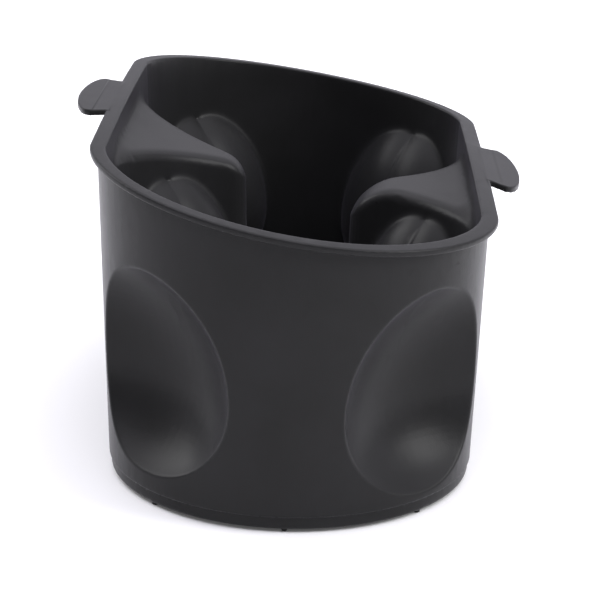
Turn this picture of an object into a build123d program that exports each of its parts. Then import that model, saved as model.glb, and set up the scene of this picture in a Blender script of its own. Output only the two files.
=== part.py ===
from build123d import *
import os
from math import acos, cos, degrees, radians, sin, sqrt, tan

# Console cup holder: a soft tub with two round wells that open into each other in the middle.
# X runs across the tub, Y runs from well to well, Z is up. The feet stand on Z = 0.
# Heights are counted from the underside of the base, drops from the rim in the middle.

# Tub wall, outer side, at the level of its base
base_end_radius = 45.9
side_flattening = 0.3
well_half_gap = 3.6
wall = 2.0
floor_thickness = 2.2
draft = 1.8
foot_height = 0.7

# Rim: it slopes down to the right and is crowned along its length
rim_height = 75.5
rim_slope = 9.1
rim_crown_radius = 1460.0
flange_overhang = 2.0
flange_thickness = 1.6
flange_corner_radius = 30.0
flange_edge_fillet = 0.5
mouth_edge_fillet = 0.5

# Pull tabs on the two flat sides of the flange
tab_root_half_width = 18.6
tab_neck_length = 4.2
tab_head_half_width = 20.2
tab_head_length = 4.8
tab_overlap = 1.0
tab_neck_step = 0.1
tab_thickness = 1.5
tab_droop = 7.0

# Fingers that stand in from the flat sides, between the wells
nose_radius = 7.7
ramp_drop = 7.3
ramp_pitch = 7.0
ramp_end_clearance = 0.35
ramp_end_radius_left = 8.5
ramp_end_radius_right = 14.0
finger_edge_fillet = 3.0
ramp_foot_fillet = 5.0

# Dents outside in the round ends; each stands in the well as a bump
dent_angle = 47.0
dent_depth = 13.5
dent_reach = 42.0
dent_height = 28.1
dent_top_drop = 17.6
dent_bottom_height = 6.5
dent_rise = 1.4
dent_edge_fillet = 0.8
dent_wall = 2.2
bump_reach = 28.0

# Grips: bumps on the fingers, across each well from the bumps of the dents
grip_angle = 132.0
grip_depth = 12.0
grip_reach = 22.0
grip_height = 33.0
grip_top_drop = 14.8
grip_bottom_height = 12.0
grip_rise = 4.1
grip_wall = 2.4

# Each bump has two lobes
bump_lobe_offset = 5.0
grip_lobe_offset = 3.2

# Sunk band round the base, and the feet: ribs that cross it and stand out below
band_height = 3.4
band_inset = 0.45
base_edge_fillet = 1.0
foot_thickness = 1.3
foot_length = 4.3
foot_setback = 1.2
foot_angle = 46.0

# Room that the cutting tools take beyond the solid
spare = 20.0

growth = tan(radians(draft))
well_radius = base_end_radius - wall
well_half_spacing = well_radius + well_half_gap
base_half_width = base_end_radius - side_flattening
rim_level = foot_height + rim_height
rim_fall = tan(radians(rim_slope))
blank_height = rim_height + spare
rim_half_width = base_half_width + rim_height * growth
flange_half_width = rim_half_width + flange_overhang
flange_end_radius = flange_half_width + side_flattening
outer_reach = flange_half_width + tab_neck_length + tab_head_length + spare
base_plane = Plane.XY.offset(foot_height)
well_centres = [(0, -well_half_spacing), (0, well_half_spacing)]
sides = (-1, 1)
ramp_end_radii = {-1: ramp_end_radius_left, 1: ramp_end_radius_right}


def draw_outline(end_radius):
    """Plan with flat sides and round ends."""
    with Locations(*well_centres):
        Circle(end_radius)
    Rectangle(2 * end_radius, 2 * well_half_spacing)
    half_width = end_radius - side_flattening
    Rectangle(2 * half_width, 2 * (well_half_spacing + end_radius), mode=Mode.INTERSECT)


def cross_plane(x, slope):
    """Plane across a slope that falls along X, on the rim; its Y axis is square to the slope."""
    lean = radians(slope)
    origin = (x, 0, rim_level - x * rim_fall)
    return Plane(origin=origin, x_dir=(0, 1, 0), z_dir=(cos(lean), 0, -sin(lean)))


def draw_crowned_layer(thickness):
    """Long section of a layer under the crown of the rim."""
    reach = well_half_spacing + flange_end_radius + spare
    sag = rim_crown_radius - sqrt(rim_crown_radius**2 - reach**2)
    with BuildLine() as line:
        ThreePointArc((-reach, -sag), (0, 0), (reach, -sag))
        Line((reach, -sag), (reach, -sag - thickness))
        ThreePointArc((reach, -sag - thickness), (0, -thickness), (-reach, -sag - thickness))
        Line((-reach, -sag - thickness), (-reach, -sag))
    make_face(line.edges())


def build_tab_layer(side, plan, lowering):
    """Layer of a tab: its plan, cut from a slab that droops from the edge of the flange."""
    with BuildPart() as layer:
        with BuildSketch(base_plane):
            add(plan)
        extrude(amount=blank_height)
        with BuildSketch(cross_plane(side * flange_half_width, rim_slope + side * tab_droop)):
            with Locations((0, -lowering - tab_thickness / 2)):
                Rectangle(3 * tab_head_half_width, tab_thickness)
        extrude(amount=outer_reach, both=True, mode=Mode.INTERSECT)
    return layer.part


def draw_finger(side, inset):
    """Plan of one finger at the base: it keeps clear of both wells and ends in a round nose."""
    well = well_radius + inset
    nose = nose_radius - inset
    nose_centre = sqrt((well + nose) ** 2 - well_half_spacing**2)
    tangent = nose_centre * well / (well + nose)
    with Locations((side * (outer_reach + tangent) / 2, 0)):
        Rectangle(outer_reach - tangent, 2 * well_half_spacing)
    with Locations(*well_centres):
        Circle(well, mode=Mode.SUBTRACT)
    with Locations((side * nose_centre, 0)):
        Circle(nose)


def draw_ramp(side):
    """Side view of the space under one ramp, which ends in a round drop at the nose."""
    radius = ramp_end_radii[side]
    fall = tan(radians(ramp_pitch - side * rim_slope))
    wall_level = -side * rim_half_width * rim_fall - ramp_drop
    nose_centre = sqrt((well_radius + nose_radius) ** 2 - well_half_spacing**2)
    round_height = rim_height + wall_level - radius
    tip = nose_centre - nose_radius + round_height * growth - ramp_end_clearance
    outer_level = wall_level + (outer_reach - rim_half_width) * fall
    tip_level = wall_level - (rim_half_width - tip) * fall
    low_tip = tip - blank_height * growth
    with BuildLine() as line:
        FilletPolyline(
            (side * outer_reach, outer_level),
            (side * tip, tip_level),
            (side * low_tip, tip_level - blank_height),
            radius=radius,
        )
        Polyline(
            (side * low_tip, tip_level - blank_height),
            (side * outer_reach, tip_level - blank_height),
            (side * outer_reach, outer_level),
        )
    make_face(line.edges())


def dimple_plane(side, end, angle, distance, height, shift):
    """Upright plane on the axis of a dimple; its X axis points away from the well."""
    out = Vector(side * sin(radians(angle)), end * cos(radians(angle)), 0)
    across = Vector(-out.Y, out.X, 0)
    well = Vector(0, end * well_half_spacing, foot_height + height)
    return Plane(origin=well + out * distance + across * shift, x_dir=out, z_dir=-across)


def place_dimples(angle, distance, height, rise, shifts):
    """Planes of the dimples of one kind; those on the high side of the rim sit higher."""
    return [
        dimple_plane(side, end, angle, distance, height - side * rise, shift)
        for side in sides
        for end in sides
        for shift in shifts
    ]


def arc_radius(height, sag):
    """Radius of an arc that falls back by the sag at this height over its middle."""
    return (sag**2 + height**2) / (2 * sag)


def turn_dimple(plane, reach, upper, lower, mode):
    """Egg about the upright axis of the plane, widest at the level of its origin."""
    span = reach * 3 / 4
    rise = degrees(acos(max(0, 1 - span / upper)))
    fall = degrees(acos(max(0, 1 - span / lower)))
    with BuildSketch(plane) as section:
        with BuildLine():
            top = CenterArc((reach - upper, 0), upper, 0, rise)
            low = CenterArc((reach - lower, 0), lower, 0, -fall)
            Polyline(top @ 1, (0, (top @ 1).Y), (0, (low @ 1).Y), low @ 1)
        make_face()
    revolve(section.sketch, axis=Axis(plane.origin, (0, 0, 1)), mode=mode)


rim_plane = cross_plane(0, rim_slope)
side_plane = Plane(origin=(0, 0, rim_level), x_dir=(1, 0, 0), z_dir=(0, -1, 0))

# Sizes and places of the eggs: the dents, the lobes inside them, and the lobes of the grips
dent_up = rim_height - dent_top_drop - dent_height
dent_down = dent_height - dent_bottom_height
dent_upper = arc_radius(dent_up, dent_depth + dent_up * growth)
dent_lower = arc_radius(dent_down, dent_depth - dent_down * growth)
dent_distance = base_end_radius + dent_height * growth - dent_depth + dent_reach
dents = (dent_angle, dent_distance, dent_height, dent_rise)
bumps = (dent_angle, dent_distance - dent_reach - dent_wall + bump_reach, dent_height, dent_rise)

grip_up = rim_height - grip_top_drop - grip_height
grip_down = grip_height - grip_bottom_height
grip_upper = arc_radius(grip_up, grip_depth + grip_up * growth)
grip_lower = arc_radius(grip_down, grip_depth - grip_down * growth)
grip_distance = well_radius + grip_height * growth - grip_depth + grip_reach
grips = (grip_angle, grip_distance, grip_height, grip_rise)

# Fingers that stand in the tub, with a soft edge round each ramp
with BuildPart() as fingers:
    with BuildSketch(base_plane):
        for side in sides:
            draw_finger(side, 0)
    extrude(amount=blank_height, taper=draft)
    with BuildSketch(side_plane):
        for side in sides:
            draw_ramp(side)
    extrude(amount=2 * well_half_spacing, both=True, mode=Mode.INTERSECT)
    ramp_edges = edges().filter_by(GeomType.LINE, reverse=True).filter_by(
        lambda edge: edge.center().Z > foot_height and abs((edge % 0.5).Z) < 0.95
    )
    fillet(ramp_edges, finger_edge_fillet)

# Hollow under each finger, open to the side and to the bottom
with BuildPart() as recess:
    with BuildSketch(base_plane):
        for side in sides:
            draw_finger(side, wall)
    extrude(amount=blank_height, taper=draft)
    with BuildSketch(side_plane):
        for side in sides:
            draw_ramp(side)
        offset(amount=-wall, mode=Mode.REPLACE)
    extrude(amount=2 * well_half_spacing, both=True, mode=Mode.INTERSECT)

# Space inside the tub, less the fingers and the bumps
with BuildPart() as cavity:
    with BuildSketch(base_plane.offset(floor_thickness)):
        draw_outline(well_radius)
    extrude(amount=blank_height, taper=-draft)
    add(fingers.part, mode=Mode.SUBTRACT)
    ramp_feet = edges().filter_by(
        lambda edge: abs(edge.center().X) > well_radius
        and abs(edge.center().Y) < nose_radius
        and abs((edge % 0.5).Y) > 0.99
        and foot_height + floor_thickness < edge.center().Z < blank_height
    )
    fillet(ramp_feet, ramp_foot_fillet)
    for plane in place_dimples(*bumps, (-bump_lobe_offset, bump_lobe_offset)):
        turn_dimple(
            plane, bump_reach, dent_upper + dent_wall, dent_lower + dent_wall, Mode.SUBTRACT
        )
    for plane in place_dimples(*grips, (-grip_lobe_offset, grip_lobe_offset)):
        turn_dimple(plane, grip_reach, grip_upper, grip_lower, Mode.SUBTRACT)

# Flange
with BuildPart() as flange:
    with BuildSketch(base_plane):
        draw_outline(flange_end_radius)
        fillet(vertices(), flange_corner_radius)
    extrude(amount=blank_height)
    with BuildSketch(rim_plane):
        draw_crowned_layer(flange_thickness)
    extrude(amount=outer_reach, both=True, mode=Mode.INTERSECT)
    fillet(edges().filter_by(lambda edge: abs((edge % 0.5).Z) < 0.5), flange_edge_fillet)

# Plans of the tab on the right; the one on the left is the same, turned round
head_start = flange_half_width + tab_neck_length
with BuildSketch() as tab_neck:
    with BuildLine():
        Polyline(
            (flange_half_width - tab_overlap, -tab_root_half_width),
            (flange_half_width, -tab_root_half_width),
            (head_start, -tab_head_half_width),
            (head_start, tab_head_half_width),
            (flange_half_width, tab_root_half_width),
            (flange_half_width - tab_overlap, tab_root_half_width),
            close=True,
        )
    make_face()

with BuildSketch() as tab_head:
    with Locations((head_start, 0)):
        Ellipse(tab_head_length, tab_head_half_width)
    with Locations((head_start - tab_overlap, 0)):
        Rectangle(
            tab_overlap + tab_head_length,
            2 * tab_head_half_width,
            align=(Align.MIN, Align.CENTER),
            mode=Mode.INTERSECT,
        )

with BuildPart() as cup_holder:
    with BuildSketch(base_plane):
        draw_outline(base_end_radius - band_inset)
    extrude(amount=band_height)
    fillet(edges().group_by(Axis.Z)[0], base_edge_fillet)
    with BuildSketch(base_plane.offset(band_height)):
        draw_outline(base_end_radius + band_height * growth)
    extrude(amount=blank_height, taper=-draft)
    for plane in place_dimples(*dents, (0,)):
        turn_dimple(plane, dent_reach, dent_upper, dent_lower, Mode.SUBTRACT)
        fillet(edges(Select.LAST), dent_edge_fillet)
    with BuildSketch(rim_plane):
        draw_crowned_layer(2 * blank_height)
    extrude(amount=outer_reach, both=True, mode=Mode.INTERSECT)
    add(flange.part)
    for side in sides:
        add(build_tab_layer(side, tab_neck.sketch.rotate(Axis.Z, 90 - 90 * side), tab_neck_step))
        add(build_tab_layer(side, tab_head.sketch.rotate(Axis.Z, 90 - 90 * side), 0))
    with BuildSketch():
        for end in sides:
            with Locations((0, end * well_half_spacing)):
                with PolarLocations(
                    base_end_radius - foot_setback - foot_length / 2,
                    3,
                    start_angle=90 * end - foot_angle,
                    angular_range=2 * foot_angle,
                    endpoint=True,
                ):
                    Rectangle(foot_length, foot_thickness)
    extrude(amount=foot_height + band_height)
    add(cavity.part, mode=Mode.SUBTRACT)
    rim_face = (
        faces()
        .filter_by(lambda face: face.center().Z > rim_level - flange_thickness)
        .sort_by(SortBy.AREA)[-1]
    )
    fillet(rim_face.inner_wires()[0].edges(), mouth_edge_fillet)
    add(recess.part, mode=Mode.SUBTRACT)
    for plane in place_dimples(*grips, (0,)):
        turn_dimple(
            plane,
            grip_reach - grip_wall,
            grip_upper - grip_wall,
            grip_lower - grip_wall,
            Mode.SUBTRACT,
        )

cup_holder.part.label = "cup_holder"
os.makedirs("parts", exist_ok=True)
export_step(cup_holder.part, "parts/cup_holder.step")
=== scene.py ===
# Looks of the console cup holder: one soft moulded rubber tub on a pale studio floor.
# Lengths are in metres and angles in degrees, in the frame of the CAD model.

import math

import bpy
import numpy as np
from mathutils import Matrix, Vector


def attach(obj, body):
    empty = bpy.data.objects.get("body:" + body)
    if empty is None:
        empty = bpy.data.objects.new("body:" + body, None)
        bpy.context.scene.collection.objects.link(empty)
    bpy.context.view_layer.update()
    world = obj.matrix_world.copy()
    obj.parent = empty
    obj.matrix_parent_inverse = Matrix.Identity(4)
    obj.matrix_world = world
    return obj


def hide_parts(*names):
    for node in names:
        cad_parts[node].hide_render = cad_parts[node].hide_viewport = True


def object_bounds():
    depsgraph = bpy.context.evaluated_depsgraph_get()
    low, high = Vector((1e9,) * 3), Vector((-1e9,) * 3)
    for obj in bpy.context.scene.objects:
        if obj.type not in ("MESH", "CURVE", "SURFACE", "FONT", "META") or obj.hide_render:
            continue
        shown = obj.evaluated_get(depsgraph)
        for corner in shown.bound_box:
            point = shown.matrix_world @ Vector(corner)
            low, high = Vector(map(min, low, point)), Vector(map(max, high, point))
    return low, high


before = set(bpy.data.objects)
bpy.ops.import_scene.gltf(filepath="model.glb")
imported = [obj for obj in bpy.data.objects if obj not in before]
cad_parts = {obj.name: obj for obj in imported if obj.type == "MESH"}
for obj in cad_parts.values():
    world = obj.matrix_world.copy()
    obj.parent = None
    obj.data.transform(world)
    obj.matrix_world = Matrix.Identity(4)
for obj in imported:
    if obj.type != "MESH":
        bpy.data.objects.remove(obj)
cad_low, cad_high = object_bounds()

# Mesh of the tub
voxel = 0.00035
most_triangles = 190000
edge_steps = 3
step_forth = 0.5
step_back = -0.52

# Wells and bumps, as in the CAD model
well_offset = 0.0475
well_radius = 0.0439
wall_growth = 0.0314
floor_top = 0.0029
rim_middle = 0.0762
rim_fall = 0.16
bump_angle = 47.0
grip_angle = 132.0

# Rib in the crease between the two lobes of a bump, and its trace outside in the dent
rib_height = 0.0003
rib_width = 0.0005
rib_start = (0.012, 0.02)
rib_end = (0.05, 0.058)
rib_off_wall = (0.0005, 0.003)
trace_height = 0.0001
trace_width = 0.0012
trace_shift = 0.002
trace_start = (0.03, 0.042)
trace_off_wall = (-0.001, 0.002)
facing_range = (0.1, 0.4)

# Soft foot of the bumps where they run into the wall, and smooth tops of the fingers
crease_depth = 0.000012
crease_half_width = 0.0018
blend_half_width = 0.024
blend_reach = 4
blend_steps = 40
blend_share = 0.5
wall_margin = 0.0005
floor_margin = 0.004
rim_margin = 0.006
ramp_edge = 0.003
ramp_tilt = 0.15

# Rubber; each noise has a scale and a detail
rubber_dark = (0.0155, 0.0155, 0.0157, 1)
rubber_light = (0.0205, 0.0204, 0.0214, 1)
mottle_noise = (45, 4)
mottle_range = (0.3, 0.75)
rubber_roughness = (0.3, 0.38)
roughness_noise = (90, 3)
rubber_specular = 0.12
sheen_weight = 0.05
sheen_roughness = 0.35
sheen_tint = (0.86, 0.82, 1.0, 1.0)
grain_noise = (2600, 2)
grain_depth = 0.00004
grain_strength = 0.5

# Camera, on the photograph's viewing angle
camera_azimuth = 0.98
camera_elevation = 17.65
camera_roll = 1.29
camera_distance = 0.5595
camera_target = Vector((0.00097, 0.0, 0.0281))
nearest_view = 0.01
sensor_width = 36.0
focal_pixels = 2035.5
picture_pixels = 600

# Floor, which glows a little as a light table does
floor_size = 6.0
floor_sink = 0.00005
floor_colour = (0.9, 0.9, 0.9, 1)
floor_roughness = 0.9
floor_specular = 0.1
floor_glow = 0.07
glow_colour = (1, 1, 1, 1)

# Room: brightness on the camera's side, at the back and above, and the directions where it changes
front_brightness = 0.12
back_brightness = 0.65
top_brightness = 2.6
front_to_back = (-0.65, 0.4)
side_to_top = (0.55, 0.95)
room_tint = (1.0, 0.985, 1.06, 1.0)

# Soft boxes: name, azimuth, elevation, size and power
soft_boxes = (
    ("right", 76, 34, 0.55, 8.0),
    ("left", -116, 31, 0.6, 3.8),
)
light_distance = 1.2
light_target = Vector((0, 0, 0.04))


def apply_modifiers(obj):
    """Replaces the object's mesh by what its modifiers make of it."""
    depsgraph = bpy.context.evaluated_depsgraph_get()
    made = bpy.data.meshes.new_from_object(obj.evaluated_get(depsgraph))
    obj.modifiers.clear()
    obj.data = made


def even_copy(node):
    """New object with the node's surface as an even grid of small faces."""
    copy = bpy.data.objects.new("rubber_tub", node.data.copy())
    bpy.context.scene.collection.objects.link(copy)
    remesh = copy.modifiers.new("even_faces", "REMESH")
    remesh.mode = "VOXEL"
    remesh.voxel_size = voxel
    wrap = copy.modifiers.new("back_on_the_form", "SHRINKWRAP")
    wrap.target = node
    wrap.wrap_method = "NEAREST_SURFACEPOINT"
    apply_modifiers(copy)
    return copy


def read_points(mesh):
    """Vertex places of a mesh as rows."""
    points = np.zeros(len(mesh.vertices) * 3)
    mesh.vertices.foreach_get("co", points)
    return points.reshape(-1, 3)


def read_normals(mesh):
    """Vertex normals of a mesh as rows."""
    normals = np.zeros(len(mesh.vertices) * 3)
    mesh.vertex_normals.foreach_get("vector", normals)
    return normals.reshape(-1, 3)


def read_edges(mesh):
    """Vertex pairs of the edges of a mesh as rows."""
    edges = np.zeros(len(mesh.edges) * 2, dtype=np.int64)
    mesh.edges.foreach_get("vertices", edges)
    return edges.reshape(-1, 2)


def write_points(mesh, points):
    """Gives the mesh new vertex places."""
    mesh.vertices.foreach_set("co", points.astype(np.float32).ravel())
    mesh.update()


def neighbour_mean(points, edges):
    """Mean place of the neighbours of each point."""
    first, second = edges[:, 0], edges[:, 1]
    count = len(points)
    degree = np.bincount(first, minlength=count) + np.bincount(second, minlength=count)
    total = np.empty_like(points)
    for axis in range(3):
        total[:, axis] = np.bincount(first, points[second, axis], count)
        total[:, axis] += np.bincount(second, points[first, axis], count)
    return total / degree[:, None]


def relax(points, edges):
    """Moves each point towards the mean of its neighbours and back a little more, which keeps the form."""
    for share in (step_forth, step_back) * edge_steps:
        points = points + share * (neighbour_mean(points, edges) - points)
    return points


def fade(value, start, end):
    """Smooth change from 0 at the start to 1 at the end."""
    share = np.clip((value - start) / (end - start), 0, 1)
    return share * share * (3 - 2 * share)


def bump_axes(angle):
    """Well centre and outward direction of each of the four bumps at an angle."""
    turn = math.radians(angle)
    for side in (-1, 1):
        for end in (-1, 1):
            out = np.array((side * math.sin(turn), end * math.cos(turn)))
            yield np.array((0, end * well_offset)), out


def out_and_across(points, well, out):
    """How far each point lies from the centre of a well, outward and across."""
    place = points[:, :2] - well
    return place @ out, place @ np.array((-out[1], out[0]))


def wall_radius(height):
    """Inner radius of the wells, which widen upwards."""
    return well_radius + (height - floor_top) * wall_growth


def raise_ribs(points, normals):
    """Adds the rib between the lobes of each bump, and its faint trace outside in each dent."""
    rise = np.zeros(len(points))
    height = points[:, 2]
    span = fade(height, *rib_start) * (1 - fade(height, *rib_end))
    for angle in (bump_angle, grip_angle):
        for well, out in bump_axes(angle):
            outward, across = out_and_across(points, well, out)
            facing = normals[:, :2] @ out
            depth = wall_radius(height) - outward
            near = (outward > well_radius / 2) * span
            inner = near * fade(-facing, *facing_range) * fade(depth, *rib_off_wall)
            rise += rib_height * inner * np.exp(-((across / rib_width) ** 2))
            if angle == bump_angle:
                shift = trace_shift * np.sign(out[0] * out[1])
                outer = near * fade(facing, *facing_range) * fade(depth, *trace_off_wall)
                outer *= fade(height, *trace_start)
                rise += trace_height * outer * np.exp(-(((across - shift) / trace_width) ** 2))
    return points + rise[:, None] * normals


def in_the_tub(points):
    """Whether each point lies on the inner side, between the floor and the rim."""
    height = points[:, 2]
    reach = np.hypot(points[:, 0], np.maximum(abs(points[:, 1]) - well_offset, 0))
    rim = rim_middle - points[:, 0] * rim_fall
    inside = reach < wall_radius(height) + wall_margin
    return inside & (height > floor_top + floor_margin) & (height < rim - rim_margin)


def beside_creases(points):
    """Whether each point lies by a bump, away from the crease between its lobes."""
    near = np.zeros(len(points), dtype=bool)
    for angle in (bump_angle, grip_angle):
        for well, out in bump_axes(angle):
            outward, across = out_and_across(points, well, out)
            lobes = (abs(across) > crease_half_width) & (abs(across) < blend_half_width)
            near |= (outward > well_radius / 2) & lobes
    return near


def blend_feet(points, normals, edges):
    """Rounds the sharp foot of each bump in the wells, and smooths the tops of the fingers."""
    first, second = edges[:, 0], edges[:, 1]
    inside = in_the_tub(points)
    hollow = ((neighbour_mean(points, edges) - points) * normals).sum(1)
    weight = (inside & beside_creases(points) & (hollow > crease_depth)).astype(float)
    for step in range(blend_reach):
        np.maximum.at(weight, first, weight[second])
        np.maximum.at(weight, second, weight[first])
    from_well = np.hypot(points[:, 0], abs(points[:, 1]) - well_offset)
    weight[inside & (from_well > well_radius + ramp_edge) & (normals[:, 2] > ramp_tilt)] = 1

    # Only the points that move and their neighbours take part
    active = weight[first] + weight[second] > 0
    numbers, packed = np.unique(edges[active], return_inverse=True)
    packed = packed.reshape(-1, 2)
    moved = points[numbers]
    share = blend_share * weight[numbers][:, None]
    for step in range(blend_steps):
        moved = moved + share * (neighbour_mean(moved, packed) - moved)
    blended = points.copy()
    blended[numbers] = moved
    return blended


def make_tub(material):
    """The tub with all its edges a little rounded, as a mould leaves them."""
    piece = even_copy(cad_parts["cup_holder"])
    mesh = piece.data
    edges = read_edges(mesh)
    write_points(mesh, blend_feet(read_points(mesh), read_normals(mesh), edges))
    points = relax(raise_ribs(read_points(mesh), read_normals(mesh)), edges)
    write_points(mesh, np.clip(points, np.array(cad_low), np.array(cad_high)))
    mesh.calc_loop_triangles()
    fewer = piece.modifiers.new("fewer_faces", "DECIMATE")
    fewer.ratio = min(1.0, most_triangles / len(mesh.loop_triangles))
    apply_modifiers(piece)
    piece.data.shade_smooth()
    piece.data.materials.clear()
    piece.data.materials.append(material)
    return piece


def make_rubber():
    """Matt black rubber: fine moulded grain, faint mottling and a soft sheen at grazing angles."""
    material = bpy.data.materials.new("black_rubber")
    material.use_nodes = True
    nodes, links = material.node_tree.nodes, material.node_tree.links
    shader = nodes["Principled BSDF"]
    shader.inputs["Specular IOR Level"].default_value = rubber_specular
    shader.inputs["Sheen Weight"].default_value = sheen_weight
    shader.inputs["Sheen Roughness"].default_value = sheen_roughness
    shader.inputs["Sheen Tint"].default_value = sheen_tint
    place = nodes.new("ShaderNodeTexCoord")

    def noise(scale, detail):
        """Noise over the surface, in the object's own coordinates."""
        texture = nodes.new("ShaderNodeTexNoise")
        texture.inputs["Scale"].default_value = scale
        texture.inputs["Detail"].default_value = detail
        links.new(place.outputs["Object"], texture.inputs["Vector"])
        return texture.outputs["Fac"]

    colour = nodes.new("ShaderNodeValToRGB")
    for element, position, value in zip(
        colour.color_ramp.elements, mottle_range, (rubber_dark, rubber_light)
    ):
        element.position = position
        element.color = value
    links.new(noise(*mottle_noise), colour.inputs["Fac"])
    links.new(colour.outputs["Color"], shader.inputs["Base Color"])
    gloss = nodes.new("ShaderNodeMapRange")
    gloss.inputs["To Min"].default_value, gloss.inputs["To Max"].default_value = rubber_roughness
    links.new(noise(*roughness_noise), gloss.inputs["Value"])
    links.new(gloss.outputs["Result"], shader.inputs["Roughness"])
    grain = nodes.new("ShaderNodeBump")
    grain.inputs["Distance"].default_value = grain_depth
    grain.inputs["Strength"].default_value = grain_strength
    links.new(noise(*grain_noise), grain.inputs["Height"])
    links.new(grain.outputs["Normal"], shader.inputs["Normal"])
    return material


def make_floor():
    """Pale floor under the feet."""
    half = floor_size / 2
    corners = [(-half, -half, 0), (half, -half, 0), (half, half, 0), (-half, half, 0)]
    mesh = bpy.data.meshes.new("floor")
    mesh.from_pydata(corners, [], [(0, 1, 2, 3)])
    floor = bpy.data.objects.new("floor", mesh)
    floor.location = (0, 0, cad_low.z - floor_sink)
    bpy.context.scene.collection.objects.link(floor)
    material = bpy.data.materials.new("pale_floor")
    material.use_nodes = True
    shader = material.node_tree.nodes["Principled BSDF"]
    shader.inputs["Base Color"].default_value = floor_colour
    shader.inputs["Roughness"].default_value = floor_roughness
    shader.inputs["Specular IOR Level"].default_value = floor_specular
    shader.inputs["Emission Color"].default_value = glow_colour
    shader.inputs["Emission Strength"].default_value = floor_glow
    floor.data.materials.append(material)


def direction(azimuth, elevation):
    """Direction from the tub; azimuth 0 is the camera's side and 90 the right."""
    turn, rise = math.radians(azimuth), math.radians(elevation)
    return Vector((math.sin(turn) * math.cos(rise), -math.cos(turn) * math.cos(rise), math.sin(rise)))


def add_soft_box(name, azimuth, elevation, size, power):
    """Square soft light that faces the tub."""
    light = bpy.data.lights.new(name, "AREA")
    light.shape = "SQUARE"
    light.size = size
    light.energy = power
    lamp = bpy.data.objects.new(name, light)
    lamp.location = direction(azimuth, elevation) * light_distance
    lamp.rotation_euler = (light_target - lamp.location).to_track_quat("-Z", "Y").to_euler()
    bpy.context.scene.collection.objects.link(lamp)


def make_room():
    """Pale room, dim on the camera's side and bright above."""
    world = bpy.data.worlds.new("pale_room")
    world.use_nodes = True
    nodes, links = world.node_tree.nodes, world.node_tree.links
    place = nodes.new("ShaderNodeTexCoord")
    split = nodes.new("ShaderNodeSeparateXYZ")
    links.new(place.outputs["Generated"], split.inputs["Vector"])

    def ramp(source, span, low, high):
        """Smooth change from one brightness to another."""
        step = nodes.new("ShaderNodeMapRange")
        step.interpolation_type = "SMOOTHSTEP"
        for name, value in zip(("From Min", "From Max", "To Min", "To Max"), (*span, low, high)):
            step.inputs[name].default_value = value
        links.new(source, step.inputs["Value"])
        return step.outputs["Result"]

    mix = nodes.new("ShaderNodeMix")
    links.new(ramp(split.outputs["Z"], side_to_top, 0, 1), mix.inputs["Factor"])
    links.new(ramp(split.outputs["Y"], front_to_back, front_brightness, back_brightness), mix.inputs["A"])
    mix.inputs["B"].default_value = top_brightness
    background = nodes["Background"]
    background.inputs["Color"].default_value = room_tint
    links.new(mix.outputs["Result"], background.inputs["Strength"])
    bpy.context.scene.world = world


def add_camera():
    """Camera on the photograph's viewing angle."""
    azimuth, roll = math.radians(camera_azimuth), math.radians(camera_roll)
    back = direction(camera_azimuth, camera_elevation)
    right = Vector((math.cos(azimuth), math.sin(azimuth), 0))
    up = back.cross(right)
    rolled_right = math.cos(roll) * right + math.sin(roll) * up
    rolled_up = math.cos(roll) * up - math.sin(roll) * right
    camera = bpy.data.cameras.new("camera")
    camera.sensor_width = sensor_width
    camera.lens = sensor_width * focal_pixels / picture_pixels
    camera.clip_start = nearest_view
    holder = bpy.data.objects.new("camera", camera)
    turn = Matrix((rolled_right, rolled_up, back)).transposed().to_4x4()
    turn.translation = camera_target + back * camera_distance
    holder.matrix_world = turn
    bpy.context.scene.collection.objects.link(holder)
    bpy.context.scene.camera = holder


bpy.context.scene.view_settings.view_transform = "Standard"
add_camera()
tub = make_tub(make_rubber())
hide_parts("cup_holder")
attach(tub, "root")
make_floor()
make_room()
for box in soft_boxes:
    add_soft_box(*box)
